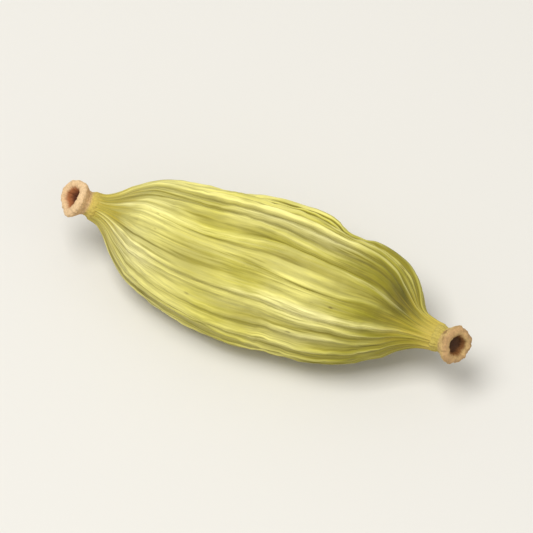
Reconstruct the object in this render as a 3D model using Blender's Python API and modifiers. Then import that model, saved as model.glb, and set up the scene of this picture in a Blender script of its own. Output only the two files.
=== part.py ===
"""One dried green cardamom pod, lying on the small flat spot of its belly.

The pod is three pieces: the ribbed husk, the dried flower tube on its slim
neck, and the stub of stalk at its other end. The husk runs along X, with the
flower tube at -X and the stalk at +X. Z is up, and the origin is on the flat
spot that the pod rests on, under its weight.
"""

import math
from dataclasses import dataclass

import bmesh
import bpy
import numpy as np

MM = 0.001

# Driving dimensions of the husk.
HUSK_LENGTH = 19.0 * MM
HUSK_WIDTH = 7.8 * MM
HUSK_FLATNESS = 0.93
REST_HEIGHT = 3.10 * MM

# The husk's outline: how far along it is, from the flower end to the stalk
# end, and its radius as a share of the widest radius.
OUTLINE = (
    (0.000, 0.175),
    (0.025, 0.200),
    (0.050, 0.285),
    (0.085, 0.455),
    (0.140, 0.650),
    (0.220, 0.787),
    (0.350, 0.922),
    (0.450, 0.974),
    (0.540, 0.970),
    (0.680, 0.903),
    (0.820, 0.716),
    (0.885, 0.502),
    (0.915, 0.350),
    (0.945, 0.236),
    (0.975, 0.188),
    (1.000, 0.175),
)

# Three blunt keels round the husk, with a flattish face between each two.
KEELS = 3
KEEL_ANGLE = math.radians(98.0)
KEEL_ROUNDNESS = 0.068
FACE_FURROW = 0.012
TWIST = math.radians(9.0)

# Ribs run from end to end. The keels are ribs too, only taller.
RIBS_PER_FACE = 9
RIBS = KEELS * RIBS_PER_FACE
RIB_HEIGHT = 0.18 * MM
RIB_WIDTH_SHARE = 0.30
KEEL_GAIN = 1.1
PLAIN_GAINS = (0.35, 1.25)
GAIN_CHANGE = 0.35
GAIN_CHANGES_ALONG = 6
RIBS_TO_NECK = 0.75
MEAN_RIB = 0.45

# A rib whose gain is under the first number fades out towards both ends.
FAINT_GAIN = 0.6
FAINT_REACH = 0.22

# The ribs are lower on the front face near the flower end: the angle and place
# of its middle, how far it reaches round and along, and the share they lose.
CALM_SIDE = math.radians(146.0)
CALM_ANGLE = math.radians(50.0)
CALM_PLACE = 0.38
CALM_LENGTH = 0.32
CALM = 0.58

# Each rib wanders sideways, in long bends and in shorter ones half as strong.
RIB_SHIFT = math.radians(3.6)
LONG_BENDS = 3
SHORT_BENDS = 7

# Seeds inside push the husk out in low swellings.
SWELLING = 0.11 * MM
SWELLINGS_ALONG = 8
SWELLINGS_ROUND = 7
SWELLINGS_TO_NECK = 1.5

# Dents: place along, angle round, depth, reach along, reach round.
DENTS = (
    (0.877, math.radians(78.0), 0.38 * MM, 0.042, math.radians(30.0)),
    (0.690, math.radians(14.0), 0.40 * MM, 0.065, math.radians(34.0)),
    (0.790, math.radians(206.0), 0.26 * MM, 0.070, math.radians(30.0)),
    (0.300, math.radians(196.0), 0.14 * MM, 0.070, math.radians(18.0)),
    (0.913, math.radians(24.0), 0.30 * MM, 0.030, math.radians(40.0)),
)

# The belly patch round the resting spot, where the ribs are worn low. The keels
# lean, so the belly is turned level by a share of its radius for each radian.
BELLY_SIDE = math.radians(270.0)
BELLY_LENGTH = 0.24
BELLY_ANGLE = math.radians(34.0)
BELLY_WEAR = 0.8
BELLY_LEVEL = 0.14

# The husk's middle line: how far along it is, and how far it lies to the
# back in millimetres. Its two necks turn up and a little to the front.
MIDDLE_LINE = (
    (0.00, 0.00),
    (0.15, -0.05),
    (0.35, -0.24),
    (0.45, -0.08),
    (0.54, 0.11),
    (0.66, 0.17),
    (0.75, 0.28),
    (0.82, 0.36),
    (0.88, 0.27),
    (0.94, 0.11),
    (1.00, 0.05),
)
NECK_REACH = 0.16
FLOWER_NECK_RISE = 0.60 * MM
STALK_NECK_RISE = 0.34 * MM
RISE_TO_FRONT = math.radians(28.0)
RISE_DIRECTION = np.array([0.0, -math.sin(RISE_TO_FRONT), math.cos(RISE_TO_FRONT)])

# Mesh of the husk: columns for each rib, and rows from end to end.
COLUMNS_PER_RIB = 4
ROWS = 46
ROW_CROWDING = 0.55

# The two hollow ends, turned round an axis and then dried out of round.
TUBE_STEPS = 32
TUBE_GAP = 0.04 * MM
LIP_OVAL = 0.92
LIP_PUCKERS = ((3, 0.035), (5, 0.030), (11, 0.025))
LIP_WAVE = 0.06 * MM

SEED = 41
MERGE = 1e-7
CREASE = math.radians(50.0)


@dataclass(frozen=True)
class HollowEnd:
    """A hollow end piece: which end face it stands on, and how it is shaped.

    The profile is radius and height in millimetres, from the root's edge over
    the lip to the middle of the blind hole.
    """

    name: str
    profile: tuple
    along: float
    outward: int
    bend: float
    seed: int


FLOWER_TUBE = HollowEnd(
    name="flower_tube",
    profile=(
        (0.61, 0.00),
        (0.59, 0.18),
        (0.64, 0.40),
        (0.79, 0.62),
        (0.91, 0.82),
        (0.96, 1.00),
        (0.91, 1.17),
        (0.75, 1.25),
        (0.58, 1.19),
        (0.46, 1.04),
        (0.38, 0.84),
        (0.31, 0.60),
    ),
    along=0.0,
    outward=-1,
    bend=math.radians(32.0),
    seed=SEED + 5,
)
STALK_STUB = HollowEnd(
    name="stalk_stub",
    profile=(
        (0.62, 0.00),
        (0.62, 0.18),
        (0.68, 0.42),
        (0.82, 0.66),
        (0.92, 0.88),
        (0.95, 1.06),
        (0.89, 1.22),
        (0.73, 1.29),
        (0.56, 1.23),
        (0.45, 1.10),
        (0.38, 0.90),
    ),
    along=1.0,
    outward=1,
    bend=math.radians(32.0),
    seed=SEED + 6,
)


def smooth_step(share):
    """0 to 1 with no corner at either end: 3s^2 - 2s^3."""
    share = np.clip(share, 0.0, 1.0)
    return share * share * (3.0 - 2.0 * share)


def curve_through(points, at):
    """A cubic Hermite curve through the points, with slopes from their neighbours."""
    places, values = np.array(points).T
    slopes = np.gradient(values, places)
    left = np.clip(np.searchsorted(places, at, side="right") - 1, 0, len(places) - 2)
    gap = places[left + 1] - places[left]
    s = (at - places[left]) / gap
    start = (1.0 + 2.0 * s) * (1.0 - s) ** 2 * values[left]
    start_slope = s * (1.0 - s) ** 2 * gap * slopes[left]
    end = s * s * (3.0 - 2.0 * s) * values[left + 1]
    end_slope = s * s * (s - 1.0) * gap * slopes[left + 1]
    return start + start_slope + end + end_slope


def waves(seed, along, turn, cells_along, cells_round):
    """Smooth bumps from -1 to 1: seeded values on a lattice, closed round the husk."""
    lattice = np.random.default_rng(seed).uniform(-1.0, 1.0, (cells_along + 2, cells_round))
    row = np.clip(along, 0.0, 1.0) * cells_along
    column = (turn % 1.0) * cells_round
    low_row = np.floor(row).astype(int)
    low_column = np.floor(column).astype(int) % cells_round
    next_column = (low_column + 1) % cells_round
    down = smooth_step(row - np.floor(row))
    across = smooth_step(column - np.floor(column))
    near = lattice[low_row, low_column] * (1 - across) + lattice[low_row, next_column] * across
    far = lattice[low_row + 1, low_column] * (1 - across) + lattice[low_row + 1, next_column] * across
    return near * (1 - down) + far * down


def outline_radius(along):
    """The husk's radius without ribs."""
    return curve_through(OUTLINE, along) * HUSK_WIDTH / 2


def keel_angle(along):
    """Where the first keel is round the husk, which twists a little from end to end."""
    return KEEL_ANGLE + TWIST * (along - 0.5)


def rib_angle(along, turn):
    """The angle of a line that follows the ribs: each rib wanders and leans on its own."""
    ends = np.sin(math.pi * np.clip(along, 0.0, 1.0)) ** 0.5
    long_bends = waves(SEED, along, turn, LONG_BENDS, RIBS)
    short_bends = waves(SEED + 1, along, turn, SHORT_BENDS, RIBS)
    wander = long_bends + 0.5 * short_bends
    return keel_angle(along) + 2 * math.pi * turn + RIB_SHIFT * ends * wander


def rib_strength(along, rib):
    """How tall one rib is, as a share of RIB_HEIGHT: some are faint, and all come and go."""
    gains = np.random.default_rng(SEED + 2).uniform(*PLAIN_GAINS, RIBS)
    gains[::RIBS_PER_FACE] = KEEL_GAIN
    change = waves(SEED + 3, along, (rib + 0.5) / RIBS, GAIN_CHANGES_ALONG, RIBS)
    fade = smooth_step(np.minimum(along, 1 - along) / FAINT_REACH)
    reach = np.where(gains[rib] < FAINT_GAIN, fade, 1.0)
    return gains[rib] * (1.0 + GAIN_CHANGE * change) * reach


def rib_relief(along, turn):
    """The ribs' height: a round crest on each rib's line, and a wide valley between two."""
    place = (turn % 1.0) * RIBS
    left = np.floor(place).astype(int) % RIBS
    part = place - np.floor(place)
    crest = np.exp(-((part / RIB_WIDTH_SHARE) ** 2)) * rib_strength(along, left)
    right = (left + 1) % RIBS
    next_crest = np.exp(-(((1 - part) / RIB_WIDTH_SHARE) ** 2)) * rib_strength(along, right)
    return RIB_HEIGHT * (crest + next_crest)


def angle_between(angle, centre):
    """The shorter way round from one angle to another."""
    return (angle - centre + math.pi) % (2 * math.pi) - math.pi


def husk_radius(along, turn):
    """The husk's radius: blunt keels, ribs, swellings over the seeds, and dents."""
    angle = rib_angle(along, turn)
    outline = outline_radius(along)
    from_keel = KEELS * (angle - keel_angle(along))
    section = 1 + KEEL_ROUNDNESS * np.cos(from_keel) - FACE_FURROW * np.cos(2 * from_keel)
    fullness = outline / (HUSK_WIDTH / 2)

    off_belly = angle_between(angle, BELLY_SIDE)
    belly = np.exp(-(((along - 0.5) / BELLY_LENGTH) ** 2) - (off_belly / BELLY_ANGLE) ** 2)
    off_side = angle_between(angle, CALM_SIDE) / CALM_ANGLE
    calm = np.exp(-(((along - CALM_PLACE) / CALM_LENGTH) ** 2) - off_side**2)
    kept = (1 - BELLY_WEAR * belly) * (1 - CALM * calm)
    ribs = rib_relief(along, turn) * fullness**RIBS_TO_NECK * kept

    swelling = waves(SEED + 4, along, angle / (2 * math.pi), SWELLINGS_ALONG, SWELLINGS_ROUND)
    swelling = SWELLING * swelling * fullness**SWELLINGS_TO_NECK * (1 - belly)
    level = outline * BELLY_LEVEL * off_belly * belly
    radius = outline * section + level + ribs + swelling
    for place, centre, depth, reach, spread in DENTS:
        away = ((along - place) / reach) ** 2 + (angle_between(angle, centre) / spread) ** 2
        radius = radius - depth * np.exp(-away)
    return radius - RIB_HEIGHT * MEAN_RIB * fullness


def husk_middle(along):
    """The husk's middle line, as an array of points."""
    to_back = curve_through(MIDDLE_LINE, along) * MM
    level = np.full_like(to_back, REST_HEIGHT)
    flower_rise = FLOWER_NECK_RISE * np.clip(1 - along / NECK_REACH, 0, None) ** 2
    stalk_rise = STALK_NECK_RISE * np.clip(1 - (1 - along) / NECK_REACH, 0, None) ** 2
    straight = np.stack([(along - 0.5) * HUSK_LENGTH, to_back, level], axis=-1)
    return straight + (flower_rise + stalk_rise)[..., None] * RISE_DIRECTION


def husk_frame(along):
    """The middle line's point, and the directions forward, sideways and up there."""
    step = 1e-4
    middle = husk_middle(along)
    forward = husk_middle(along + step) - husk_middle(along - step)
    forward /= np.linalg.norm(forward, axis=-1, keepdims=True)
    side = np.cross([0.0, 0.0, 1.0], forward)
    side /= np.linalg.norm(side, axis=-1, keepdims=True)
    return middle, forward, side, np.cross(forward, side)


def husk_points(along, turn):
    """Points of the husk's surface, for arrays of places along it and turns round it."""
    middle, _, side, up = husk_frame(along)
    angle = rib_angle(along, turn)
    radius = husk_radius(along, turn)
    across = (radius * np.cos(angle))[..., None] * side
    upward = (radius * HUSK_FLATNESS * np.sin(angle))[..., None] * up
    return middle + across + upward


def material(name, colour, roughness):
    """A plain Principled material."""
    made = bpy.data.materials.new(name)
    made.use_nodes = True
    shader = made.node_tree.nodes["Principled BSDF"]
    shader.inputs["Base Color"].default_value = (*colour, 1.0)
    shader.inputs["Roughness"].default_value = roughness
    return made


def add_object(name, mesh, collection, look):
    """A named object with its material, shaded smooth but for its sharp edges."""
    mesh.shade_smooth()
    mesh.set_sharp_from_angle(angle=CREASE)
    mesh.materials.append(look)
    made = bpy.data.objects.new(name, mesh)
    collection.objects.link(made)
    return made


def row_places(rows):
    """Places along the husk from one end face to the other, closer together at its necks."""
    even = np.linspace(0.0, 1.0, rows)
    crowded = 0.5 * (1.0 - np.cos(math.pi * even))
    return (1 - ROW_CROWDING) * even + ROW_CROWDING * crowded


def add_husk(collection, look):
    """The husk: a sphere whose rings are moved onto the ribbed surface, cut flat at its belly."""
    columns = RIBS * COLUMNS_PER_RIB
    body = bmesh.new()
    bmesh.ops.create_uvsphere(body, u_segments=columns, v_segments=ROWS + 1, radius=1.0)
    sphere = np.array([corner.co for corner in body.verts])
    ring = np.rint(np.arccos(np.clip(sphere[:, 2], -1, 1)) / math.pi * (ROWS + 1)).astype(int)
    at_pole = (ring == 0) | (ring == ROWS + 1)
    along = row_places(ROWS)[np.clip(ROWS - ring, 0, ROWS - 1)]
    turn = np.arctan2(sphere[:, 1], sphere[:, 0]) / (2 * math.pi)
    points = np.where(at_pole[:, None], husk_middle(along), husk_points(along, turn))
    for corner, point in zip(body.verts, points):
        corner.co = point

    everything = body.verts[:] + body.edges[:] + body.faces[:]
    bmesh.ops.bisect_plane(
        body, geom=everything, dist=MERGE, plane_co=(0, 0, 0), plane_no=(0, 0, -1), clear_outer=True
    )
    rim = [edge for edge in body.edges if edge.is_boundary]
    bmesh.ops.holes_fill(body, edges=rim, sides=0)
    bmesh.ops.recalc_face_normals(body, faces=body.faces)
    mesh = bpy.data.meshes.new("husk")
    body.to_mesh(mesh)
    body.free()
    return add_object("husk", mesh, collection, look)


def turned_mesh(name, profile):
    """The mesh of a profile turned about Z, closed at its root and in its blind hole."""
    outline = bmesh.new()
    radii_heights = [(0.0, profile[0][1]), *profile, (0.0, profile[-1][1])]
    corners = [outline.verts.new((radius * MM, 0, height * MM)) for radius, height in radii_heights]
    for first, second in zip(corners, corners[1:]):
        outline.edges.new((first, second))
    mesh = bpy.data.meshes.new(name)
    outline.to_mesh(mesh)
    outline.free()

    turned = bpy.data.objects.new(name, mesh)
    bpy.context.scene.collection.objects.link(turned)
    screw = turned.modifiers.new("turn", "SCREW")
    screw.steps = screw.render_steps = TUBE_STEPS
    screw.use_merge_vertices = True
    screw.merge_threshold = MERGE * 10
    bpy.context.view_layer.update()
    finished = bpy.data.meshes.new_from_object(turned.evaluated_get(bpy.context.evaluated_depsgraph_get()))
    bpy.data.objects.remove(turned)
    return finished


def dry_out(mesh, seed):
    """Makes a turned mesh uneven: its lip oval, puckered and wavy, and its wall lightly fluted."""
    points = np.array([corner.co for corner in mesh.vertices])
    angle = np.arctan2(points[:, 1], points[:, 0])
    lip = smooth_step(points[:, 2] / points[:, 2].max())
    phases = np.random.default_rng(seed).uniform(0, 2 * math.pi, len(LIP_PUCKERS) + 1)
    for (count, depth), phase in zip(LIP_PUCKERS, phases):
        points[:, :2] *= (1 + lip * depth * np.cos(count * angle + phase))[:, None]
    points[:, 1] *= 1 - (1 - LIP_OVAL) * lip
    points[:, 2] += lip * LIP_WAVE * np.cos(2 * angle + phases[-1])
    for corner, point in zip(mesh.vertices, points):
        corner.co = point


def bent_onto(points, foot, forward, bend):
    """Points that stand on Z, moved so that Z leaves the foot forward and curves up by the bend."""
    rise = RISE_DIRECTION - RISE_DIRECTION.dot(forward) * forward
    rise /= np.linalg.norm(rise)
    side = np.cross(rise, forward)
    radius = points[:, 2].max() / bend
    turned = (points[:, 2] / radius)[:, None]
    arc = radius * (np.sin(turned) * forward + (1 - np.cos(turned)) * rise)
    outward = np.cos(turned) * rise - np.sin(turned) * forward
    return foot + arc + points[:, :1] * side + points[:, 1:2] * outward


def add_end(end, collection, look):
    """A hollow end piece, standing on one end face of the husk and curving up from it."""
    mesh = turned_mesh(end.name, end.profile)
    dry_out(mesh, end.seed)
    middle, forward, _, _ = husk_frame(np.array(end.along))
    axis = forward * end.outward
    points = np.array([corner.co for corner in mesh.vertices])
    points = bent_onto(points, middle + axis * TUBE_GAP, axis, end.bend)
    body = bmesh.new()
    body.from_mesh(mesh)
    for corner, point in zip(body.verts, points):
        corner.co = point
    bmesh.ops.recalc_face_normals(body, faces=body.faces)
    body.to_mesh(mesh)
    body.free()
    return add_object(end.name, mesh, collection, look)


def main():
    """Clears the scene and builds the pod."""
    for old in list(bpy.data.objects):
        bpy.data.objects.remove(old, do_unlink=True)
    pod = bpy.data.collections.new("cardamom_pod")
    bpy.context.scene.collection.children.link(pod)

    husk_look = material("dry_green_husk", (0.50, 0.50, 0.13), 0.60)
    flower_look = material("dry_flower_tube", (0.62, 0.40, 0.24), 0.75)
    stalk_look = material("dry_stalk", (0.55, 0.34, 0.19), 0.80)

    add_husk(pod, husk_look)
    add_end(FLOWER_TUBE, pod, flower_look)
    add_end(STALK_STUB, pod, stalk_look)


main()
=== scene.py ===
"""A dried green cardamom pod on a pale floor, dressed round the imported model.

Three finished pieces stand for the model's three solids: the ribbed husk, the
dried flower tube at -X and the stub of stalk at +X. Each repeats its solid's
shape from the same named sizes, on a finer grid and with the small relief that
a dried pod has. Everything is in metres, and +Z is up.
"""

from __future__ import annotations

import logging
import math
from dataclasses import dataclass
from enum import Enum
from typing import Any

import bpy
import numpy as np
from mathutils import Matrix, Vector


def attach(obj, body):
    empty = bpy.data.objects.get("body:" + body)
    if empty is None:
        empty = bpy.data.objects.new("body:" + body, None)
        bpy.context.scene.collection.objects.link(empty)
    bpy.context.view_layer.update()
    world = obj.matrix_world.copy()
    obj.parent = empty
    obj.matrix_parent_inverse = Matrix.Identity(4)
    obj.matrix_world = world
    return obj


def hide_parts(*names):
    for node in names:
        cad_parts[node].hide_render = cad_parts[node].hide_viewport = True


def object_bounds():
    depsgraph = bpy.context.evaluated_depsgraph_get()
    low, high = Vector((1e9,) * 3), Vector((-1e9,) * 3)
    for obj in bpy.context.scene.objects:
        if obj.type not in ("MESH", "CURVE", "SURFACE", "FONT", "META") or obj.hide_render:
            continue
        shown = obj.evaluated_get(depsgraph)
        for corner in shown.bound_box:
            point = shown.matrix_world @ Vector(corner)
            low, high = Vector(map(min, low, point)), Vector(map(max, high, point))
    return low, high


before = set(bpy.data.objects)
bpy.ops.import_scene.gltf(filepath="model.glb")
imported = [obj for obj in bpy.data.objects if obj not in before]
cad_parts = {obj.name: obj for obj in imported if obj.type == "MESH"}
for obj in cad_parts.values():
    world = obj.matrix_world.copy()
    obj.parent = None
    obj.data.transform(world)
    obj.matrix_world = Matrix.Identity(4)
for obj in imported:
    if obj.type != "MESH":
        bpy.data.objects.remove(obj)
CAD_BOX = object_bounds()

MM = 0.001
LOG = logging.getLogger("cardamom_pod")

Array = np.ndarray
Pair = tuple[float, float]
Curve = tuple[Pair, ...]

# A bell-shaped patch on the husk: place along, angle in degrees, depth or amount,
# reach along as a share of the length, and reach round in degrees.
Patch = tuple[float, float, float, float, float]

# Sockets of a Mix node that mixes colours.
MIX_A = 6
MIX_B = 7
MIX_COLOUR = 2


def to_linear(colour: str) -> tuple[float, float, float, float]:
    """Turns an sRGB hex colour into linear red, green, blue and alpha.

    Args:
        colour: The colour as "#RRGGBB".

    Returns:
        The linear values, with alpha 1.
    """
    parts = (int(colour[place : place + 2], 16) / 255.0 for place in (1, 3, 5))
    linear = (part / 12.92 if part <= 0.04045 else ((part + 0.055) / 1.055) ** 2.4 for part in parts)
    return (*linear, 1.0)


def add_node(
    tree: bpy.types.NodeTree,
    kind: str,
    settings: dict[str | int, Any] | None = None,
    links: dict[str | int, bpy.types.NodeSocket] | None = None,
) -> bpy.types.Node:
    """Adds a node with its settings and links.

    Args:
        tree: The node tree it goes into.
        kind: Blender's name for the kind of node.
        settings: Properties of the node, or values of its input sockets.
        links: Output sockets to link, by input socket.

    Returns:
        The new node.
    """
    node = tree.nodes.new(kind)
    for key, value in (settings or {}).items():
        if isinstance(key, str) and hasattr(node, key):
            setattr(node, key, value)
        else:
            node.inputs[key].default_value = value
    for key, socket in (links or {}).items():
        tree.links.new(socket, node.inputs[key])
    return node


def smooth_step(share: Array) -> Array:
    """Goes from 0 to 1 with no corner at either end: 3s^2 - 2s^3."""
    share = np.clip(share, 0.0, 1.0)
    return share * share * (3.0 - 2.0 * share)


def curve_through(points: Curve, at: Array) -> Array:
    """A cubic Hermite curve through points, with slopes from their neighbours.

    Args:
        points: Pairs of place and value.
        at: The places to read the curve at.

    Returns:
        The curve's values there.
    """
    places, values = np.array(points).T
    slopes = np.gradient(values, places)
    left = np.clip(np.searchsorted(places, at, side="right") - 1, 0, len(places) - 2)
    gap = places[left + 1] - places[left]
    s = (at - places[left]) / gap
    start = (1.0 + 2.0 * s) * (1.0 - s) ** 2 * values[left]
    start_slope = s * (1.0 - s) ** 2 * gap * slopes[left]
    end = s * s * (3.0 - 2.0 * s) * values[left + 1]
    end_slope = s * s * (s - 1.0) * gap * slopes[left + 1]
    return start + start_slope + end + end_slope


def waves(seed: int, along: Array, turn: Array, cells_along: int, cells_round: int) -> Array:
    """Smooth bumps from -1 to 1: seeded values on a lattice, closed round the piece.

    Between four lattice values the height is their mean, weighted by the smooth
    step of the place between them.

    Args:
        seed: Picks the lattice's values.
        along: Place from one end to the other, 0 to 1.
        turn: Place round the piece, in whole turns.
        cells_along: Lattice cells from end to end.
        cells_round: Lattice cells in one turn.

    Returns:
        The height at each place.
    """
    lattice = np.random.default_rng(seed).uniform(-1.0, 1.0, (cells_along + 2, cells_round))
    row = np.clip(along, 0.0, 1.0) * cells_along
    column = (turn % 1.0) * cells_round
    low_row = np.floor(row).astype(int)
    low_column = np.floor(column).astype(int) % cells_round
    next_column = (low_column + 1) % cells_round
    down = smooth_step(row - np.floor(row))
    across = smooth_step(column - np.floor(column))
    near = lattice[low_row, low_column] * (1 - across) + lattice[low_row, next_column] * across
    far = lattice[low_row + 1, low_column] * (1 - across) + lattice[low_row + 1, next_column] * across
    return near * (1 - down) + far * down


def closed_mesh(name: str, rings: Array, first: Array, last: Array) -> bpy.types.Mesh:
    """A closed mesh of rings, with a fan from each end ring to one point.

    Ring r, column c joins column c + 1 and ring r + 1 as a four-sided face. The
    faces are turned round if the mesh's signed volume, the sum of each corner
    triple's product, comes out below zero.

    Args:
        name: The mesh's name.
        rings: Points as an array of rings, columns and coordinates.
        first: The point that closes the first ring.
        last: The point that closes the last ring.

    Returns:
        The mesh, shaded smooth, with its faces outwards.
    """
    rows, columns, _ = rings.shape
    points = np.concatenate([rings.reshape(-1, 3), first[None], last[None]])
    here = np.arange(columns)
    following = (here + 1) % columns
    start = np.arange(rows - 1)[:, None] * columns
    sides = [start + here, start + following, start + columns + following, start + columns + here]
    quads = np.stack(sides, axis=-1).reshape(-1, 4)
    end = (rows - 1) * columns
    first_fan = np.stack([np.full(columns, rows * columns), following, here], axis=-1)
    last_fan = np.stack([np.full(columns, rows * columns + 1), end + here, end + following], axis=-1)

    triangles = np.concatenate([quads[:, :3], quads[:, [0, 2, 3]], first_fan, last_fan])
    a, b, c = points[triangles].swapaxes(0, 1)
    turn_round = -1 if np.einsum("ij,ij->", a, np.cross(b, c)) < 0 else 1
    faces: list[list[int]] = []
    for part in (quads, first_fan, last_fan):
        faces += part[:, ::turn_round].tolist()

    mesh = bpy.data.meshes.new(name)
    mesh.from_pydata(points.tolist(), [], faces)
    mesh.shade_smooth()
    mesh.validate()
    return mesh


def put_values(mesh: bpy.types.Mesh, name: str, values: Array, first: float, last: float) -> None:
    """Stores one number for each point of a closed mesh, for its material.

    Args:
        mesh: The mesh from closed_mesh.
        name: The attribute's name.
        values: One number for each point of the rings.
        first: The number at the point that closes the first ring.
        last: The number at the point that closes the last ring.
    """
    attribute = mesh.attributes.new(name, "FLOAT", "POINT")
    attribute.data.foreach_set("value", np.append(values.ravel(), [first, last]).astype(np.float32))


def put_places(mesh: bpy.types.Mesh, name: str, places: Array) -> None:
    """Stores one place for each point of a closed mesh, for its patterns.

    Args:
        mesh: The mesh from closed_mesh.
        name: The attribute's name.
        places: One place for each point of the rings; the two closing points
            take those of the first and last ring's first point.
    """
    attribute = mesh.attributes.new(name, "FLOAT_VECTOR", "POINT")
    flat = places.reshape(-1, 3)
    everything = np.concatenate([flat, flat[:1], flat[-1:]]).astype(np.float32)
    attribute.data.foreach_set("vector", everything.ravel())


@dataclass(frozen=True)
class HuskFinish:
    """Husk of a green cardamom pod, cured and dried: thin, papery and fibrous.

    The fibres run from end to end, so colour and gloss change in long streaks.
    The flower end is paler and the stalk end darker and more green, partly the
    husk's own colour and partly painted light and painted shade. Crests are
    paler, partly their own colour and partly painted highlight; valleys and
    grooves are darker, partly their own colour and partly painted shade; and
    the necks brown as they dry. Some long stretches carry painted shade, others
    painted light. The surface is dull, with the faintest silky shine.
    """

    straw: str = "#E7DE82"
    body: str = "#CFC64F"
    # Pale cream of the flower end and of the faded stretches, partly painted light.
    cream_and_painted_light: str = "#E4DC98"
    # Dark olive of the stalk end, partly painted shade.
    green: str = "#8E860E"
    # Valley and groove colours: partly the husk's own olive, partly painted shade.
    valley: str = "#857A18"
    groove: str = "#5C5214"
    # Crest colour: partly the husk's own paler crests, partly painted highlight.
    crest: str = "#EAE29C"
    dry: str = "#AF9B26"
    neck: str = "#C0AB4A"
    # Painted shade, laid over the dent near the stalk end.
    shade: str = "#4C4706"
    speck: str = "#6E5A24"
    roughness_low: float = 0.54
    roughness_high: float = 0.76
    sheen: float = 0.05
    sheen_roughness: float = 0.45
    ior: float = 1.45
    fibre_shade: Pair = (0.72, 1.27)
    bump_depth: float = 0.060 * MM
    bump_strength: float = 0.6

    # Real sizes in millimetres, along and across: patches of one colour, streaks
    # of fibres, the fibres themselves, and brown specks. The fibres are drawn
    # about four times as coarse as real ones, which would not show.
    patch: Pair = (4.2, 1.9)
    streak: Pair = (5.2, 0.23)
    fibre: Pair = (1.7, 0.125)
    speck_size: Pair = (0.95, 0.55)

    def material(self) -> bpy.types.Material:
        """Builds the material.

        Returns:
            The material, which reads what Husk.dress stores on the mesh.
        """
        made = bpy.data.materials.new("cured_papery_cardamom_husk")
        made.use_nodes = True
        tree = made.node_tree
        tree.nodes.clear()
        grain = add_node(tree, "ShaderNodeAttribute", {"attribute_name": "grain"}).outputs["Vector"]
        along = add_node(tree, "ShaderNodeSeparateXYZ", links={"Vector": grain}).outputs["X"]
        read = {
            name: add_node(tree, "ShaderNodeAttribute", {"attribute_name": name}).outputs["Fac"]
            for name in ("crest", "groove", "neck", "dry", "shade", "golden_and_painted_shade", "faded_and_painted_light", "lively")
        }

        mapped = {}
        for name, (long_way, across), place in (
            ("patch", self.patch, (0.0, 0.0, 0.0)),
            ("streak", self.streak, (31.0, 7.0, 2.0)),
            ("fibre", self.fibre, (5.0, 17.0, 9.0)),
            ("speck", self.speck_size, (2.0, 3.0, 5.0)),
        ):
            scale = (1.0 / (long_way * MM), 1.0 / (across * MM), 1.0 / (across * MM))
            settings = {"Location": place, "Scale": scale}
            mapping = add_node(tree, "ShaderNodeMapping", settings, {"Vector": grain})
            mapped[name] = mapping.outputs["Vector"]
        for name, detail in (("patch", 2.0), ("streak", 3.0), ("fibre", 2.5)):
            settings = {"Scale": 1.0, "Detail": detail, "Roughness": 0.55}
            noise = add_node(tree, "ShaderNodeTexNoise", settings, {"Vector": mapped[name]})
            read[name] = noise.outputs["Fac"]
        cells = add_node(tree, "ShaderNodeTexVoronoi", {"Scale": 1.0}, {"Vector": mapped["speck"]})
        read["cell"] = cells.outputs["Distance"]
        read["along"] = along

        # Each share runs smoothly from its low to its high value as its source
        # goes from start to stop; along is in metres. Stored attributes are
        # shares already.
        share = dict(read)
        for name, source, start, stop, low, high in (
            # The flower end is paler and the stalk end darker and more green: partly the husk's own colour,
            # partly painted light and painted shade.
            ("greener_and_painted_shade", "along", 0.0116, 0.0160, 0.05, 1.00),
            ("creamy_and_painted_light", "along", 0.0072, 0.0030, 0.00, 0.65),
            ("patchy", "patch", 0.38, 0.62, 0.42, 1.00),
            ("pale", "patch", 0.62, 0.36, 0.00, 0.75),
            # Darker valleys and paler crest lines: partly the husk's own colour, partly painted shade and
            # painted highlight.
            ("valley", "crest", 0.45, 0.00, 0.00, 0.64),
            ("dark_streak", "streak", 0.49, 0.32, 0.00, 1.00),
            ("light_streak", "streak", 0.48, 0.66, 0.00, 0.92),
            ("crest_line", "crest", 0.50, 0.95, 0.00, 0.44),
            ("paler_crest", "fibre", 0.35, 0.60, 0.15, 1.00),
            ("dry_streak", "streak", 0.40, 0.60, 0.30, 0.95),
            ("spot", "cell", 0.20, 0.07, 0.00, 1.00),
            ("spotted", "streak", 0.56, 0.66, 0.00, 0.70),
            ("streaky", "fibre", 0.30, 0.60, 0.55, 1.00),
        ):
            settings = {"interpolation_type": "SMOOTHSTEP", "To Min": low, "To Max": high}
            settings |= {"From Min": start, "From Max": stop}
            ramp = add_node(tree, "ShaderNodeMapRange", settings, {"Value": read[source]})
            share[name] = ramp.outputs["Result"]
        for name, one, other in (
            ("green", "greener_and_painted_shade", "patchy"),
            ("cream_and_painted_light", "creamy_and_painted_light", "patchy"),
            ("crest_shown", "crest_line", "paler_crest"),
            ("dried", "dry_streak", "dry"),
            ("speck", "spot", "spotted"),
            ("golden_and_painted_shade_shown", "golden_and_painted_shade", "streaky"),
            ("faded_and_painted_light_shown", "faded_and_painted_light", "streaky"),
            ("dark_shown", "dark_streak", "lively"),
            ("light_shown", "light_streak", "lively"),
        ):
            links = {0: share[one], 1: share[other]}
            product = add_node(tree, "ShaderNodeMath", {"operation": "MULTIPLY"}, links)
            share[name] = product.outputs["Value"]

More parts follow.
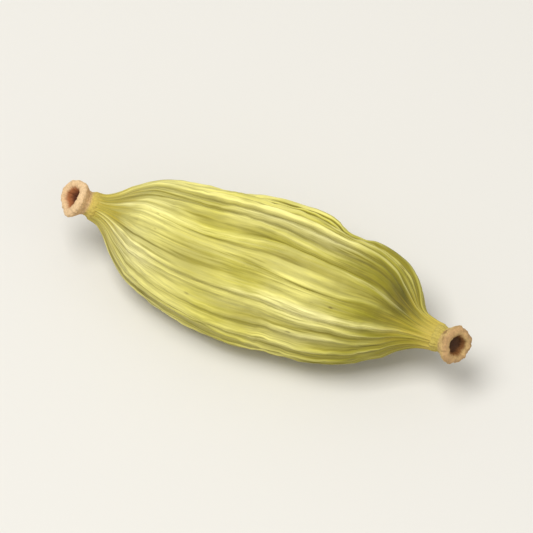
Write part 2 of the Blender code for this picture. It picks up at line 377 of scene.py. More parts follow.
        settings = {"data_type": "RGBA", MIX_A: to_linear(self.body), MIX_B: to_linear(self.straw)}
        colour = add_node(tree, "ShaderNodeMix", settings, {0: share["pale"]}).outputs[MIX_COLOUR]
        for name, over in (
            ("cream_and_painted_light", self.cream_and_painted_light),
            ("light_shown", self.straw),
            ("green", self.green),
            # Golden stretches, partly painted shade.
            ("golden_and_painted_shade_shown", self.valley),
            # Faded stretches, partly painted light.
            ("faded_and_painted_light_shown", self.cream_and_painted_light),
            # Darker valleys, partly painted shade.
            ("valley", self.valley),
            ("dark_shown", self.valley),
            # Painted shade over the dent near the stalk end.
            ("shade", self.shade),
            # Darker grooves, partly painted shade.
            ("groove", self.groove),
            # Paler crests, partly painted highlight.
            ("crest_shown", self.crest),
            ("dried", self.dry),
            ("neck", self.neck),
            ("speck", self.speck),
        ):
            settings = {"data_type": "RGBA", MIX_B: to_linear(over)}
            links = {0: share[name], MIX_A: colour}
            colour = add_node(tree, "ShaderNodeMix", settings, links).outputs[MIX_COLOUR]

        # Fibres lighten and darken the colour a little, and stand up a little.
        darkest, lightest = self.fibre_shade
        settings = {"From Min": 0.25, "From Max": 0.75, "To Min": darkest, "To Max": lightest}
        shade = add_node(tree, "ShaderNodeMapRange", settings, {"Value": read["fibre"]}).outputs["Result"]
        links = {0: colour, "Scale": shade}
        colour = add_node(tree, "ShaderNodeVectorMath", {"operation": "SCALE"}, links).outputs["Vector"]
        settings = {"To Min": self.roughness_low, "To Max": self.roughness_high}
        dullness = add_node(tree, "ShaderNodeMapRange", settings, {"Value": read["streak"]})
        settings = {"Strength": self.bump_strength, "Distance": self.bump_depth}
        bump = add_node(tree, "ShaderNodeBump", settings, {"Height": read["fibre"]}).outputs["Normal"]
        shader = add_node(
            tree,
            "ShaderNodeBsdfPrincipled",
            {"IOR": self.ior, "Sheen Weight": self.sheen, "Sheen Roughness": self.sheen_roughness},
            {"Base Color": colour, "Roughness": dullness.outputs["Result"], "Normal": bump},
        )
        add_node(tree, "ShaderNodeOutputMaterial", links={"Surface": shader.outputs["BSDF"]})
        return made


@dataclass(frozen=True)
class CorkyFinish:
    """Dried stalk or flower tissue: corky, dull, pale on its lip and brown in its hole.

    Drying shrinks it into a thick, finely pitted ring. Its root is still the
    husk's yellow green. The bottom of its hole is darker, as painted shade.
    It has no shine.
    """

    name: str
    root: str
    wall: str
    lip: str
    stain: str
    hole: str
    # Painted shade at the bottom of the hole.
    painted_hole_bottom_shade: str
    pit_shade: Pair = (0.80, 1.12)
    roughness: float = 0.80
    ior: float = 1.45
    bump_depth: float = 0.03 * MM
    bump_strength: float = 0.7

    # Real sizes in millimetres of its pits and of its patches of colour.
    pit: float = 0.11
    patch: float = 0.45

    def material(self) -> bpy.types.Material:
        """Builds the material.

        Returns:
            The material, which reads what HollowEnd.dress stores on the mesh.
        """
        made = bpy.data.materials.new(self.name)
        made.use_nodes = True
        tree = made.node_tree
        tree.nodes.clear()
        place = add_node(tree, "ShaderNodeTexCoord").outputs["Object"]
        share = {
            name: add_node(tree, "ShaderNodeAttribute", {"attribute_name": name}).outputs["Fac"]
            for name in ("root", "lip", "hole", "painted_hole_bottom_shade")
        }
        settings = {"Scale": 1.0 / (self.patch * MM), "Detail": 3.0}
        patches = add_node(tree, "ShaderNodeTexNoise", settings, {"Vector": place}).outputs["Fac"]
        settings = {"Scale": 1.0 / (self.pit * MM), "Detail": 2.0, "Roughness": 0.6}
        pits = add_node(tree, "ShaderNodeTexNoise", settings, {"Vector": place}).outputs["Fac"]
        settings = {"interpolation_type": "SMOOTHSTEP", "From Min": 0.46, "From Max": 0.70, "To Max": 0.75}
        stains = add_node(tree, "ShaderNodeMapRange", settings, {"Value": patches})
        share["stain"] = stains.outputs["Result"]

        settings = {"data_type": "RGBA", MIX_A: to_linear(self.wall), MIX_B: to_linear(self.stain)}
        colour = add_node(tree, "ShaderNodeMix", settings, {0: share["stain"]}).outputs[MIX_COLOUR]
        for name, over in (
            ("root", self.root),
            ("lip", self.lip),
            ("hole", self.hole),
            # Painted shade at the bottom of the hole.
            ("painted_hole_bottom_shade", self.painted_hole_bottom_shade),
        ):
            settings = {"data_type": "RGBA", MIX_B: to_linear(over)}
            links = {0: share[name], MIX_A: colour}
            colour = add_node(tree, "ShaderNodeMix", settings, links).outputs[MIX_COLOUR]
        darkest, lightest = self.pit_shade
        settings = {"From Min": 0.3, "From Max": 0.7, "To Min": darkest, "To Max": lightest}
        shade = add_node(tree, "ShaderNodeMapRange", settings, {"Value": pits}).outputs["Result"]
        links = {0: colour, "Scale": shade}
        colour = add_node(tree, "ShaderNodeVectorMath", {"operation": "SCALE"}, links).outputs["Vector"]
        settings = {"Strength": self.bump_strength, "Distance": self.bump_depth}
        bump = add_node(tree, "ShaderNodeBump", settings, {"Height": pits}).outputs["Normal"]
        settings = {"IOR": self.ior, "Roughness": self.roughness}
        links = {"Base Color": colour, "Normal": bump}
        shader = add_node(tree, "ShaderNodeBsdfPrincipled", settings, links)
        add_node(tree, "ShaderNodeOutputMaterial", links={"Surface": shader.outputs["BSDF"]})
        return made


@dataclass(frozen=True)
class Husk:
    """The husk: a ribbed, blunt three-keeled shell on a slightly crooked middle line.

    The sizes repeat those of the model's source, in metres and radians. A place
    on the surface is how far along it is, 0 to 1, and its turn round the husk.
    The outline is the husk's thickness along it, as a share of its width, and
    the middle line is how many millimetres it lies to the back.
    """

    length: float = 19.0 * MM
    width: float = 7.8 * MM
    flatness: float = 0.93
    rest_height: float = 3.10 * MM
    outline: Curve = (
        (0.000, 0.175),
        (0.025, 0.200),
        (0.050, 0.285),
        (0.085, 0.455),
        (0.140, 0.650),
        (0.220, 0.787),
        (0.350, 0.922),
        (0.450, 0.974),
        (0.540, 0.970),
        (0.680, 0.903),
        (0.820, 0.716),
        (0.885, 0.502),
        (0.915, 0.350),
        (0.945, 0.236),
        (0.975, 0.188),
        (1.000, 0.175),
    )
    middle_line: Curve = (
        (0.00, 0.00),
        (0.15, -0.05),
        (0.35, -0.24),
        (0.45, -0.08),
        (0.54, 0.11),
        (0.66, 0.17),
        (0.75, 0.28),
        (0.82, 0.36),
        (0.88, 0.27),
        (0.94, 0.11),
        (1.00, 0.05),
    )
    neck_reach: float = 0.16
    flower_neck_rise: float = 0.60 * MM
    stalk_neck_rise: float = 0.34 * MM
    rise_to_front: float = math.radians(28.0)
    keels: int = 3
    keel_angle: float = math.radians(98.0)
    keel_roundness: float = 0.068
    face_furrow: float = 0.012
    twist: float = math.radians(9.0)
    ribs_per_face: int = 9
    rib_height: float = 0.18 * MM
    rib_width_share: float = 0.30
    keel_gain: float = 1.1
    plain_gains: Pair = (0.35, 1.25)
    gain_change: float = 0.35
    gain_changes_along: int = 6
    ribs_to_neck: float = 0.75
    mean_rib: float = 0.45
    faint_gain: float = 0.6
    faint_reach: float = 0.22
    calm_side: float = math.radians(146.0)
    calm_angle: float = math.radians(50.0)
    calm_place: float = 0.38
    calm_length: float = 0.32
    calm: float = 0.58
    rib_shift: float = math.radians(3.6)
    long_bends: int = 3
    short_bends: int = 7
    swelling: float = 0.11 * MM
    swellings_along: int = 8
    swellings_round: int = 7
    swellings_to_neck: float = 1.5
    dents: tuple[Patch, ...] = (
        (0.877, 78.0, 0.38 * MM, 0.042, 30.0),
        (0.690, 14.0, 0.40 * MM, 0.065, 34.0),
        (0.790, 206.0, 0.26 * MM, 0.070, 30.0),
        (0.300, 196.0, 0.14 * MM, 0.070, 18.0),
        (0.913, 24.0, 0.30 * MM, 0.030, 40.0),
    )
    belly_side: float = math.radians(270.0)
    belly_length: float = 0.24
    belly_angle: float = math.radians(34.0)
    belly_wear: float = 0.8
    belly_level: float = 0.14
    seed: int = 41

    # The finer surface: its grid, the raised line on each rib, the thin veins or
    # grooves between ribs, and the crumpling of the dried skin. Widths are shares
    # of the ribs' spacing, and cells are counted along and round.
    columns_per_rib: int = 14
    rows: int = 252
    row_crowding: float = 0.55
    crest_line: float = 0.066 * MM
    crest_line_share: float = 0.10
    mean_crest_line: float = 0.2
    vein: float = 0.055 * MM
    vein_share: float = 0.13
    vein_start: float = 0.1
    groove: float = 0.050 * MM
    groove_share: float = 0.11
    groove_stop: float = 0.35
    valley_drift: float = 0.16
    valley_change: float = 1.1
    valley_changes_along: int = 5
    crumple: float = 0.034 * MM
    crumple_cells: tuple[int, int] = (44, 54)
    fine_crumple: float = 0.014 * MM
    fine_crumple_cells: tuple[int, int] = (66, 108)

    # What the colours follow: how far crests, veins and grooves show, how much
    # plainer the smoother face is, the rib that is painted paler, and how far the
    # husk has browned from either end. Paler crests are partly painted highlight,
    # and darker grooves partly painted shade.
    crest_shown: float = 0.8
    crest_shown_share: float = 0.20
    vein_shown: float = 0.7
    groove_shown: float = 0.40
    plain_crest: float = 0.48
    calm_colour_gain: float = 1.5
    calm_streaks: float = 0.55
    pale_rib: int = 3
    pale_rib_width: float = 0.45
    pale_rib_place: float = 0.66
    pale_rib_length: float = 0.20
    neck_reaches: Pair = (0.028, 0.075)
    neck_ragged: float = 0.012
    dry_reaches: Pair = (0.15, 0.17)
    dry_ragged: float = 0.05
    ragged_cells: tuple[int, int] = (30, 54)

    # Long stretches that are darker, more golden or paler than the rest: painted
    # shade over the dent near the stalk end, golden stretches that are partly the
    # skin's own colour and partly painted shade, and faded stretches that are
    # partly its own colour and partly painted light.
    painted_dent_shade: tuple[Patch, ...] = ((0.890, 84.0, 0.95, 0.043, 30.0),)
    # Golden stretches: partly the skin's own golden olive, partly painted shade along the brightly lit
    # middle and the lower flank.
    golden_and_painted_shade: tuple[Patch, ...] = (
        (0.610, 100.0, 0.68, 0.150, 8.5),
        (0.500, 163.0, 0.68, 0.095, 11.0),
        (0.340, 132.0, 0.46, 0.090, 22.0),
        (0.060, 120.0, 0.45, 0.035, 12.0),
        (0.865, 126.0, 0.30, 0.040, 18.0),
        (0.500, 139.0, 0.26, 0.070, 8.0),
        (0.500, 118.0, 0.46, 0.075, 10.0),
        (0.335, 116.0, 0.34, 0.085, 11.0),
        (0.340, 77.0, 0.32, 0.070, 12.0),
    )
    # Faded stretches: partly the skin's own paler colour, partly painted light on flanks that the lamps
    # leave darker.
    faded_and_painted_light: tuple[Patch, ...] = (
        (0.500, 72.0, 0.75, 0.090, 10.0),
        (0.660, 73.0, 1.00, 0.085, 11.0),
        (0.660, 143.0, 0.80, 0.100, 9.0),
        (0.670, 170.0, 0.70, 0.080, 8.0),
        (0.165, 148.0, 0.95, 0.085, 17.0),
        (0.165, 94.0, 0.30, 0.080, 15.0),
        (0.085, 86.0, 0.55, 0.032, 18.0),
        (0.090, 154.0, 0.60, 0.036, 20.0),
    )

    @property
    def ribs(self) -> int:
        """How many ribs there are in all."""
        return self.keels * self.ribs_per_face

    @property
    def rise_direction(self) -> Array:
        """The direction that both necks turn to: up, and a little to the front."""
        return np.array([0.0, -math.sin(self.rise_to_front), math.cos(self.rise_to_front)])

    def keel_angle_at(self, along: Array) -> Array:
        """Where the first keel is round the husk: its angle plus the twist so far."""
        return self.keel_angle + self.twist * (along - 0.5)

    def rib_angle(self, along: Array, turn: Array) -> Array:
        """The angle of a line that follows the ribs: the turn, plus each rib's own wander.

        Args:
            along: Place from end to end.
            turn: Place round the husk.

        Returns:
            The angle at each place.
        """
        ends = np.sin(math.pi * np.clip(along, 0.0, 1.0)) ** 0.5
        long_bends = waves(self.seed, along, turn, self.long_bends, self.ribs)
        short_bends = waves(self.seed + 1, along, turn, self.short_bends, self.ribs)
        wander = long_bends + 0.5 * short_bends
        return self.keel_angle_at(along) + 2 * math.pi * turn + self.rib_shift * ends * wander

    def rib_strength(self, along: Array, rib: Array) -> Array:
        """How tall a rib is, as a share of the rib height: its own gain, which comes and goes.

        Args:
            along: Place from end to end.
            rib: The rib's number.

        Returns:
            The share at each place.
        """
        gains = np.random.default_rng(self.seed + 2).uniform(*self.plain_gains, self.ribs)
        gains[:: self.ribs_per_face] = self.keel_gain
        change = waves(self.seed + 3, along, (rib + 0.5) / self.ribs, self.gain_changes_along, self.ribs)
        fade = smooth_step(np.minimum(along, 1 - along) / self.faint_reach)
        reach = np.where(gains[rib] < self.faint_gain, fade, 1.0)
        return gains[rib] * (1.0 + self.gain_change * change) * reach

    def rib_crests(self, along: Array, turn: Array, share: float) -> Array:
        """Bell curves on the ribs' lines: exp(-(d/share)^2), for a distance d in rib spacings.

        Args:
            along: Place from end to end.
            turn: Place round the husk.
            share: Width of the bell, as a share of the spacing.

        Returns:
            The sum of the two nearest ribs' bells, each times its rib's strength.
        """
        place = (turn % 1.0) * self.ribs
        left = np.floor(place).astype(int) % self.ribs
        part = place - np.floor(place)
        crest = np.exp(-((part / share) ** 2)) * self.rib_strength(along, left)
        right = (left + 1) % self.ribs
        return crest + np.exp(-(((1 - part) / share) ** 2)) * self.rib_strength(along, right)

    def between_ribs(self, along: Array, turn: Array, share: float) -> tuple[Array, Array]:
        """Thin veins and grooves between the ribs, which take turns along each valley.

        Args:
            along: Place from end to end.
            turn: Place round the husk.
            share: Width of their bell, as a share of the ribs' spacing.

        Returns:
            The veins and the grooves, each from 0 to 1: a bell at mid-spacing
            that drifts, times how much each one is there.
        """
        place = (turn % 1.0) * self.ribs
        between = (np.floor(place) + 0.5) / self.ribs
        cells = (self.valley_changes_along, self.ribs)
        drift = 0.5 + self.valley_drift * waves(self.seed + 11, along, between, *cells)
        kind = self.valley_change * waves(self.seed + 12, along, between, *cells)
        part = place - np.floor(place)
        bell = np.exp(-(((part - drift) / share) ** 2))
        return smooth_step(kind - self.vein_start) * bell, smooth_step(self.groove_stop - kind) * bell

    def calmed(self, along: Array, angle: Array) -> Array:
        """The share that ribs lose on the smoother face: a bell along it and round it.

        Args:
            along: Place from end to end.
            angle: Angle round the husk.

        Returns:
            The share at each place.
        """
        off_side = self.angle_between(angle, self.calm_side) / self.calm_angle
        off_place = (along - self.calm_place) / self.calm_length
        return self.calm * np.exp(-(off_place**2) - off_side**2)

    def radius(self, along: Array, turn: Array) -> Array:
        """The husk's radius: the outline's, times the keels' section, plus all relief.

        The section is 1 + k cos(3a) - f cos(6a) for an angle a from the first
        keel. Ribs, swellings over the seeds and fine relief add to it, and each
        dent takes off a bell in both directions.

        Args:
            along: Place from end to end.
            turn: Place round the husk.

        Returns:
            The radius at each place.
        """
        angle = self.rib_angle(along, turn)
        fullness = curve_through(self.outline, along)
        from_keel = self.keels * (angle - self.keel_angle_at(along))
        section = 1 + self.keel_roundness * np.cos(from_keel) - self.face_furrow * np.cos(2 * from_keel)

        off_belly = self.angle_between(angle, self.belly_side)
        belly = np.exp(-(((along - 0.5) / self.belly_length) ** 2) - (off_belly / self.belly_angle) ** 2)
        worn = fullness**self.ribs_to_neck * (1 - self.belly_wear * belly) * (1 - self.calmed(along, angle))
        ribs = self.rib_height * self.rib_crests(along, turn, self.rib_width_share)
        crest_lines = self.rib_crests(along, turn, self.crest_line_share)
        lines = self.crest_line * (crest_lines - self.mean_crest_line)
        veins = self.vein * self.between_ribs(along, turn, self.vein_share)[0]
        grooves = self.groove * self.between_ribs(along, turn, self.groove_share)[1]

        around = angle / (2 * math.pi)
        bumps = waves(self.seed + 4, along, around, self.swellings_along, self.swellings_round)
        swelling = self.swelling * bumps * fullness**self.swellings_to_neck * (1 - belly)
        crumpled = self.crumple * waves(self.seed + 13, along, turn, *self.crumple_cells)
        crumpled += self.fine_crumple * waves(self.seed + 14, along, turn, *self.fine_crumple_cells)

        shell = fullness * self.width / 2 * (section + self.belly_level * off_belly * belly)
        radius = shell + (ribs + lines + veins - grooves) * worn + swelling
        radius += crumpled * np.sqrt(fullness)
        radius -= self.bells(along, angle, self.dents)
        return radius - self.rib_height * self.mean_rib * fullness

    def bells(self, along: Array, angle: Array, patches: tuple[Patch, ...]) -> Array:
        """Bells added up: h exp(-((s - place) / reach)^2 - ((a - centre) / spread)^2) for each.

        Args:
            along: Place s from end to end.
            angle: Angle a round the husk.
            patches: Each bell's place, centre, height h, reach along and spread round.

        Returns:
            The sum at each place.
        """
        total = np.zeros_like(angle)
        for place, centre, height, reach, spread in patches:
            off_centre = self.angle_between(angle, math.radians(centre)) / math.radians(spread)
            total += height * np.exp(-(((along - place) / reach) ** 2 + off_centre**2))
        return total

    @staticmethod
    def angle_between(angle: Array, centre: float) -> Array:
        """The shorter way round from one angle to another."""
        return (angle - centre + math.pi) % (2 * math.pi) - math.pi

    def middle(self, along: Array) -> Array:
        """The middle line: straight along X, plus its crookedness and the rise of its necks.

        Args:
            along: Places from end to end.

        Returns:
            The line's points.
        """
        to_back = curve_through(self.middle_line, along) * MM
        level = np.full_like(to_back, self.rest_height)
        flower_rise = self.flower_neck_rise * np.clip(1 - along / self.neck_reach, 0, None) ** 2
        stalk_rise = self.stalk_neck_rise * np.clip(1 - (1 - along) / self.neck_reach, 0, None) ** 2
        straight = np.stack([(along - 0.5) * self.length, to_back, level], axis=-1)
        return straight + (flower_rise + stalk_rise)[..., None] * self.rise_direction

    def directions(self, along: Array) -> tuple[Array, Array, Array]:
        """The directions forward, to the side and up at places on the middle line.

        Args:
            along: Places from end to end.

        Returns:
            The three unit vectors at each place.
        """
        step = 1e-4
        forward = self.middle(along + step) - self.middle(along - step)
        forward /= np.linalg.norm(forward, axis=-1, keepdims=True)
        side = np.cross([0.0, 0.0, 1.0], forward)
        side /= np.linalg.norm(side, axis=-1, keepdims=True)
        return forward, side, np.cross(forward, side)

    def surface(self, along: Array, turn: Array) -> Array:
        """Points of the husk: middle + r cos(a) side + flatness r sin(a) up, none under the floor.

        Args:
            along: Place from end to end.
            turn: Place round the husk.

        Returns:
            The points.
        """
        _, side, up = self.directions(along)
        angle = self.rib_angle(along, turn)
        radius = self.radius(along, turn)
        across = (radius * np.cos(angle))[..., None] * side
        upward = (radius * self.flatness * np.sin(angle))[..., None] * up
        points = self.middle(along) + across + upward
        points[..., 2] = np.maximum(points[..., 2], 0.0)
        return points

    def build(self) -> bpy.types.Object:
        """Builds the husk's piece.

        Returns:
            The dressed object.
        """
        even = np.linspace(0.0, 1.0, self.rows)
        crowded = 0.5 * (1.0 - np.cos(math.pi * even))
        places = (1 - self.row_crowding) * even + self.row_crowding * crowded
        columns = self.ribs * self.columns_per_rib
        along, turn = np.meshgrid(places, np.arange(columns) / columns, indexing="ij")
        ends = self.middle(np.array([0.0, 1.0]))
        mesh = closed_mesh("husk_skin", self.surface(along, turn), ends[0], ends[1])
        self.dress(mesh, along, turn)
        return add_piece("husk_skin", mesh, "husk", HuskFinish().material())

    def dress(self, mesh: bpy.types.Mesh, along: Array, turn: Array) -> None:
        """Stores what the husk's material reads.

        The grain is the surface unrolled onto a straight cylinder, so patterns
        follow the ribs. The crest is how near a place is to a rib's or a vein's
        top, where the paler colour is partly painted highlight, and the groove how
        near to a groove's bottom, where the darker colour is partly painted shade.
        Lively is how strongly streaks show, which is less on the smoother face.
        Shade is painted shade over the dent, golden stretches are partly painted
        shade and faded ones partly painted light, and dry and neck are how far the
        husk has browned.

        Args:
            mesh: The husk's mesh.
            along: Place of each point from end to end.
            turn: Place of each point round the husk.
        """
        round_husk = 2 * math.pi * turn
        reach = self.width / 2
        grain = [along * self.length, reach * np.cos(round_husk), reach * np.sin(round_husk)]
        put_places(mesh, "grain", np.stack(grain, axis=-1))
        veins, grooves = self.between_ribs(along, turn, self.groove_share)
        rib_crests = self.rib_crests(along, turn, self.crest_shown_share)
        crests = self.crest_shown * np.clip(rib_crests + self.vein_shown * veins, 0.0, 1.0)
        angle = self.rib_angle(along, turn)
        calmed = self.calm_colour_gain * self.calmed(along, angle)
        crests += (self.plain_crest - crests) * calmed
        # A rib painted paler along part of its length, partly painted highlight.
        from_pale_rib = (turn * self.ribs - self.pale_rib + self.ribs / 2) % self.ribs - self.ribs / 2
        off_place = (along - self.pale_rib_place) / self.pale_rib_length
        paler_crest = np.exp(-((from_pale_rib / self.pale_rib_width) ** 2) - off_place**2)
        put_values(mesh, "crest", np.clip(crests + paler_crest, 0.0, 1.0), 0.0, 0.0)
        put_values(mesh, "groove", self.groove_shown * (1 - calmed) * grooves, 0.0, 0.0)
        put_values(mesh, "lively", 1 - self.calm_streaks * calmed, 1.0, 1.0)
        # Painted shade over the dent; golden stretches partly painted shade, faded ones partly painted
        # light.
        for name, patches in (("shade", self.painted_dent_shade), ("golden_and_painted_shade", self.golden_and_painted_shade), ("faded_and_painted_light", self.faded_and_painted_light)):
            put_values(mesh, name, self.bells(along, angle, patches), 0.0, 0.0)
        ragged = waves(self.seed + 15, along, turn, *self.ragged_cells)
        for name, (flower_reach, stalk_reach), raggedness in (
            ("neck", self.neck_reaches, self.neck_ragged),
            ("dry", self.dry_reaches, self.dry_ragged),
        ):
            from_flower = smooth_step(1 - (along + raggedness * ragged) / flower_reach)
            from_stalk = smooth_step(1 - (1 - along + raggedness * ragged) / stalk_reach)
            put_values(mesh, name, np.clip(from_flower + from_stalk, 0.0, 1.0), 1.0, 1.0)


class EndKind(Enum):
    """The pod's two hollow ends."""

    FLOWER_TUBE = "flower_tube"
    STALK_STUB = "stalk_stub"


@dataclass(frozen=True)
class HollowEnd:
    """A hollow end: a collar on the husk's neck that flares into a thick lip round a hole.

    The profile is radius and height in millimetres, from its foot over the lip
    to the edge of the blind hole. The first three points are a thin skirt that
    laps over the husk's neck; the others repeat the model's. Puckers are a count
    round the end and a depth as a share of the radius.
    """

    kind: EndKind
    profile: Curve
    finish: CorkyFinish
    along: float
    outward: int
    seed: int
    bend: float = math.radians(32.0)
    gap: float = 0.04 * MM
    oval: float = 0.92
    puckers: tuple[tuple[int, float], ...] = ((3, 0.035), (5, 0.030), (11, 0.025))
    fine_puckers: tuple[tuple[int, float], ...] = ((17, 0.024), (26, 0.018), (39, 0.010))
    pucker_change: float = 0.4
    pucker_cells: tuple[int, int] = (4, 7)
    lip_wave: float = 0.06 * MM
    lip_edge: float = 0.07
    ragged: float = 0.045 * MM
    ragged_cells: tuple[int, int] = (4, 23)
    pitting: float = 0.016 * MM
    pitting_cells: tuple[int, int] = (26, 64)
    pit_depth: float = 0.05 * MM
    before_lip: float = 0.6
    rows: int = 96
    columns: int = 192

    # Where each colour is on the profile, past the lip, and how far it reaches.
    root_band: Pair = (-0.40, 0.14)
    lip_band: Pair = (-0.05, 0.13)
    hole_band: Pair = (0.05, 0.10)
    hole_bottom_shade_band: Pair = (0.16, 0.12)
    band_drift: float = 0.02
    band_cells: tuple[int, int] = (9, 17)

    def build(self, husk: Husk) -> bpy.types.Object:
        """Builds the end's piece on the husk's neck.

        The profile is turned round Z, dried out of round, and then bent onto an
        arc that leaves the neck forward and curves up.

        Args:
            husk: The husk that it stands on.

        Returns:
            The dressed object.
        """
        corners = np.array(self.profile)
        steps = np.linalg.norm(np.diff(corners, axis=0), axis=1)
        places = np.concatenate([[0.0], np.cumsum(steps)]) / steps.sum()
        share, turn = np.meshgrid(
            np.linspace(0.0, 1.0, self.rows), np.arange(self.columns) / self.columns, indexing="ij"
        )
        radius = curve_through(tuple(zip(places, corners[:, 0])), share) * MM
        height = curve_through(tuple(zip(places, corners[:, 1])), share) * MM
        crest = places[int(np.argmax(corners[:, 1]))]
        points = self.dried(radius, height, share - crest, turn)
        foot = points[0].mean(axis=0)
        pit = points[-1].mean(axis=0)
        pit[2] += self.pit_depth

        at = np.array(self.along)
        forward, _, _ = husk.directions(at)
        axis = forward * self.outward
        stand = husk.middle(at) + axis * self.gap
        bent = [self.bent(part, stand, axis, husk.rise_direction) for part in (points, foot, pit)]
        mesh = closed_mesh(self.kind.value + "_skin", *bent)
        self.dress(mesh, share - crest, turn)
        return add_piece(self.kind.value + "_skin", mesh, self.kind.value, self.finish.material())

    def bumps(self, draw: int, past_lip: Array, turn: Array, cells: tuple[int, int]) -> Array:
        """Smooth seeded bumps on the end, from -1 to 1, as waves makes them."""
        return waves(self.seed + draw, np.clip(past_lip + self.before_lip, 0.0, 1.0), turn, *cells)

    def dried(self, radius: Array, height: Array, past_lip: Array, turn: Array) -> Array:
        """The turned shape dried out of round.

        Towards the lip the radius gains cosines of several counts round it, one
        way is made narrower, and the lip's height waves and is ragged.

        Args:
            radius: Radius of each point.
            height: Height of each point.
            past_lip: Place on the profile, 0 at the lip's top and below 0 before it.
            turn: Place round the end.

        Returns:
            The points, standing on Z.
        """
        angle = 2 * math.pi * turn
        top = max(point[1] for point in self.profile) * MM
        lip = smooth_step(height / top)
        phases = np.random.default_rng(self.seed).uniform(0, 2 * math.pi, len(self.puckers) + 1)
        for (count, depth), phase in zip(self.puckers, phases):
            radius = radius * (1 + lip * depth * np.cos(count * angle + phase))
        fine_phases = np.random.default_rng(self.seed + 20).uniform(0, 2 * math.pi, len(self.fine_puckers))
        change = 1 - self.pucker_change
        change = change + self.pucker_change * self.bumps(21, past_lip, turn, self.pucker_cells)
        for (count, depth), phase in zip(self.fine_puckers, fine_phases):
            radius = radius * (1 + depth * change * np.cos(count * angle + phase))
        radius = radius + self.pitting * self.bumps(22, past_lip, turn, self.pitting_cells)
        near_lip = np.exp(-((past_lip / self.lip_edge) ** 2))
        height = height + lip * self.lip_wave * np.cos(2 * angle + phases[-1])
        height = height + near_lip * self.ragged * self.bumps(23, past_lip, turn, self.ragged_cells)
        across = radius * np.sin(angle) * (1 - (1 - self.oval) * lip)
        return np.stack([radius * np.cos(angle), across, height], axis=-1)

    def bent(self, points: Array, stand: Array, forward: Array, rise: Array) -> Array:
        """Points that stand on Z, moved so that Z leaves the stand forward and curves up.

        At height h the arc has turned by t = h / R, and lies R sin(t) forward
        and R (1 - cos(t)) up.

        Args:
            points: The points.
            stand: Where the origin goes.
            forward: The direction Z starts in.
            rise: The direction that the arc curves to.

        Returns:
            The moved points.
        """
        rise = rise - rise.dot(forward) * forward
        rise /= np.linalg.norm(rise)
        top = (max(point[1] for point in self.profile) + self.lip_wave / MM) * MM
        radius = top / self.bend
        turned = points[..., 2:] / radius
        arc = radius * (np.sin(turned) * forward + (1 - np.cos(turned)) * rise)
        outward = np.cos(turned) * rise - np.sin(turned) * forward
        return stand + arc + points[..., :1] * np.cross(rise, forward) + points[..., 1:2] * outward

    def dress(self, mesh: bpy.types.Mesh, past_lip: Array, turn: Array) -> None:
        """Stores how far each point is root, lip, hole and the painted shade at the hole's bottom.

        Args:
            mesh: The end's mesh.
            past_lip: Place on the profile, 0 at the lip's top.
            turn: Place round the end.
        """
        place = past_lip + self.band_drift * self.bumps(24, past_lip, turn, self.band_cells)
        start, reach = self.root_band
        put_values(mesh, "root", smooth_step((start - place) / reach), 1.0, 0.0)
        centre, reach = self.lip_band
        put_values(mesh, "lip", np.exp(-(((place - centre) / reach) ** 2)), 0.0, 0.0)
        # The hole's brown, and painted shade towards its bottom.
        for name, (start, reach) in (("hole", self.hole_band), ("painted_hole_bottom_shade", self.hole_bottom_shade_band)):
            put_values(mesh, name, smooth_step((place - start) / reach), 0.0, 1.0)


def add_piece(name: str, mesh: bpy.types.Mesh, node: str, look: bpy.types.Material) -> bpy.types.Object:
    """Adds a finished piece that stands for one solid of the model.

    Args:
        name: The piece's name.
        mesh: Its mesh, already in place.
        node: The solid that it replaces, which is hidden.
        look: Its material.

    Returns:
        The object.
    """
    piece = bpy.data.objects.new(name, mesh)
    bpy.context.scene.collection.objects.link(piece)
    mesh.materials.append(look)
    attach(piece, "root")
    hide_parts(node)
    LOG.info("%s: %d faces", name, len(mesh.polygons))
    return piece


# The thin skirt with which both ends lap over the husk's necks.
SKIRT: Curve = ((0.66, -0.28), (0.70, -0.12), (0.69, 0.00))

FLOWER_TUBE = HollowEnd(
    kind=EndKind.FLOWER_TUBE,
    profile=(
        *SKIRT,
        (0.62, 0.18),
        (0.65, 0.40),
        (0.79, 0.62),
        (0.91, 0.82),
        (0.96, 1.00),
        (0.91, 1.17),
        (0.75, 1.25),
        (0.58, 1.19),
        (0.46, 1.04),
        (0.38, 0.84),
        (0.31, 0.60),
    ),
    finish=CorkyFinish(
        name="dried_flower_tissue",
        root="#C3AD52",
        wall="#D6B083",
        lip="#E0BE90",
        stain="#BC8F62",
        hole="#A8673A",
        painted_hole_bottom_shade="#5E3018",
    ),
    along=0.0,
    outward=-1,
    seed=46,
)
STALK_STUB = HollowEnd(
    kind=EndKind.STALK_STUB,
    profile=(
        *SKIRT,
        (0.64, 0.18),
        (0.69, 0.42),
        (0.82, 0.66),
        (0.92, 0.88),
        (0.95, 1.06),
        (0.89, 1.22),
        (0.73, 1.29),
        (0.56, 1.23),
        (0.45, 1.10),
        (0.38, 0.90),
    ),
    # The stalk stub's wall is paler and its lip, stain and hole darker and browner than the flower tube's:
    # partly the dried cork's own colour, partly painted light and painted shade.
    finish=CorkyFinish(
        name="dried_stalk_cork",
        root="#BAA750",
        wall="#CDAF72",
        lip="#B48F60",
        stain="#856139",
        hole="#74491E",
        painted_hole_bottom_shade="#3F220B",
    ),
    along=1.0,
    outward=1,
    seed=47,
)


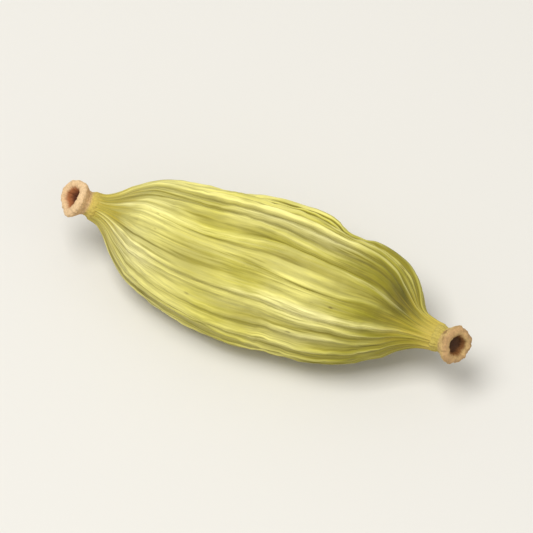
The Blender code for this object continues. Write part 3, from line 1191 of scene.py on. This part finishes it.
@dataclass(frozen=True)
class Studio:
    """The pale floor, the soft lights and the camera.

    Directions are an azimuth and an elevation in degrees, as seen from the pod:
    azimuth 0 is to the front, and 90 to the stalk's side.
    """

    floor_colour: str = "#D8D5CE"
    floor_roughness: float = 0.7
    floor_reach: float = 0.9
    camera_direction: Pair = (24.0, 60.0)
    camera_distance: float = 0.19
    lens: float = 255.0
    key_direction: Pair = (-50.0, 76.0)
    key_size: float = 0.14
    key_power: float = 0.57
    fill_direction: Pair = (70.0, 35.0)
    fill_size: float = 0.25
    fill_power: float = 0.10
    light_distance: float = 0.26
    sky: str = "#F4F4F2"
    sky_strength: float = 0.52

    @staticmethod
    def towards(azimuth: float, elevation: float) -> Vector:
        """The direction with this azimuth and elevation."""
        a, e = math.radians(azimuth), math.radians(elevation)
        return Vector((math.sin(a) * math.cos(e), -math.cos(a) * math.cos(e), math.sin(e)))

    @classmethod
    def facing(cls, centre: Vector, direction: Pair, distance: float) -> Matrix:
        """A place away from a centre, turned to look back at it.

        Args:
            centre: What it faces.
            direction: The place's azimuth and elevation from there.
            distance: How far away it is.

        Returns:
            The matrix of a light or camera there.
        """
        towards = cls.towards(*direction)
        turned = towards.to_track_quat("Z", "Y").to_matrix().to_4x4()
        return Matrix.Translation(centre + towards * distance) @ turned

    def floor(self) -> bpy.types.Object:
        """The floor: one large square at the height that the pod rests on.

        Returns:
            The floor.
        """
        reach = self.floor_reach
        mesh = bpy.data.meshes.new("floor")
        corners = [(-reach, -reach, 0.0), (reach, -reach, 0.0), (reach, reach, 0.0), (-reach, reach, 0.0)]
        mesh.from_pydata(corners, [], [(0, 1, 2, 3)])
        look = bpy.data.materials.new("matt_painted_board")
        look.use_nodes = True
        shader = look.node_tree.nodes["Principled BSDF"]
        shader.inputs["Base Color"].default_value = to_linear(self.floor_colour)
        shader.inputs["Roughness"].default_value = self.floor_roughness
        mesh.materials.append(look)
        floor = bpy.data.objects.new("floor", mesh)
        bpy.context.scene.collection.objects.link(floor)
        return floor

    def light(self, name: str, direction: Pair, size: float, power: float) -> bpy.types.Object:
        """A square area light that faces the pod.

        Args:
            name: The light's name.
            direction: Its azimuth and elevation.
            size: The side of the square.
            power: Its power in watts.

        Returns:
            The light.
        """
        data = bpy.data.lights.new(name, "AREA")
        data.size = size
        data.energy = power
        light = bpy.data.objects.new(name, data)
        light.matrix_world = self.facing(Vector((0.0, 0.0, 0.0)), direction, self.light_distance)
        bpy.context.scene.collection.objects.link(light)
        return light

    def camera(self, centre: Vector) -> bpy.types.Object:
        """The camera, at the photograph's viewing angle.

        Args:
            centre: The middle of the pod.

        Returns:
            The camera.
        """
        data = bpy.data.cameras.new("camera")
        data.lens = self.lens
        camera = bpy.data.objects.new("camera", data)
        camera.matrix_world = self.facing(centre, self.camera_direction, self.camera_distance)
        bpy.context.scene.collection.objects.link(camera)
        bpy.context.scene.camera = camera
        return camera

    def build(self) -> None:
        """Sets up the floor, the lights, the sky and the camera."""
        self.floor()
        self.light("key", self.key_direction, self.key_size, self.key_power)
        self.light("fill", self.fill_direction, self.fill_size, self.fill_power)
        world = bpy.data.worlds.new("sky")
        world.use_nodes = True
        background = world.node_tree.nodes["Background"]
        background.inputs["Color"].default_value = to_linear(self.sky)
        background.inputs["Strength"].default_value = self.sky_strength
        scene = bpy.context.scene
        scene.world = world
        scene.view_settings.view_transform = "Standard"
        low, high = CAD_BOX
        self.camera((low + high) / 2)


def main() -> None:
    logging.basicConfig(level=logging.INFO, format="%(name)s: %(message)s")
    husk = Husk()
    husk.build()
    for end in (FLOWER_TUBE, STALK_STUB):
        end.build(husk)
    Studio().build()


if __name__ == "__main__":
    main()
